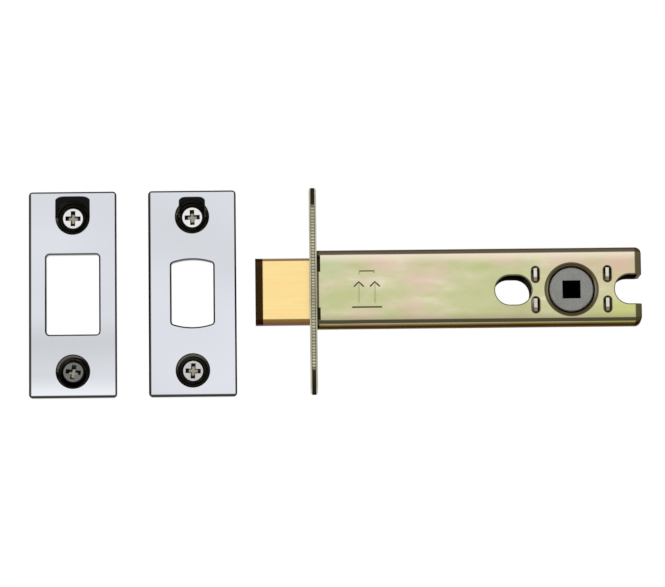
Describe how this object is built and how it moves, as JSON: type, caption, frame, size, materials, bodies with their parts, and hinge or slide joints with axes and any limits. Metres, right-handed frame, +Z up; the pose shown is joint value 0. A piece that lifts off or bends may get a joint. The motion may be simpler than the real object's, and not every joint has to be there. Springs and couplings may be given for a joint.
{
  "type": "tubular deadbolt",
  "caption": "Flat-sided tubular sliding deadbolt with a brass bolt, a turning hub with a square spindle hole, a forend, a cover plate and a strike plate with screws.",
  "frame": {"origin": "centre of the forend's front face, on the bolt's centre line", "axes": "+X along the case into the door, so the bolt is thrown towards -X; +Z up as fitted; -Y the near side, which the two loose plates face"},
  "size_m": [0.1764, 0.0368, 0.0599],
  "materials": {
    "forend_steel": "zinc plated, sheared edges",
    "yellow_zinc": "yellow passivated zinc plate, mottled",
    "bolt_brass": "satin brushed brass",
    "inner_steel": "plain zinc plate",
    "hub_casting": "dull grey die casting",
    "spring_steel": "blued spring steel",
    "bright_plate": "polished bright plate",
    "screw_steel": "bright zinc plate"
  },
  "bodies": {
    "lock_case": {"forend": "forend_steel", "case_near_half": "yellow_zinc", "case_far_half": "yellow_zinc", "front_bridge": "inner_steel", "rear_bridge": "inner_steel", "detent_spring": "spring_steel", "cover_plate": "bright_plate", "cover_screws": "screw_steel", "strike_plate": "bright_plate", "strike_screws": "screw_steel"},
    "sliding_bolt": {"bolt": "bolt_brass", "bolt_tail": "inner_steel", "tail_rivets": "inner_steel"},
    "turning_hub": {"hub": "hub_casting"}
  },
  "joints": [
    {"name": "bolt_slide", "type": "slide", "parent": "lock_case", "child": "sliding_bolt", "axis": [1, 0, 0], "range_m": [0, 0.014]},
    {"name": "hub_turn", "type": "hinge", "parent": "lock_case", "child": "turning_hub", "pos_m": [0.075, 0, -0.0008], "axis": [0, 1, 0], "range_deg": [-2.5, 92.5], "deforming": ["detent_spring"]}
  ],
  "couplings": [
    {"joint": "hub_turn", "follows": "bolt_slide", "rad_per_m": 112.2}
  ]
}
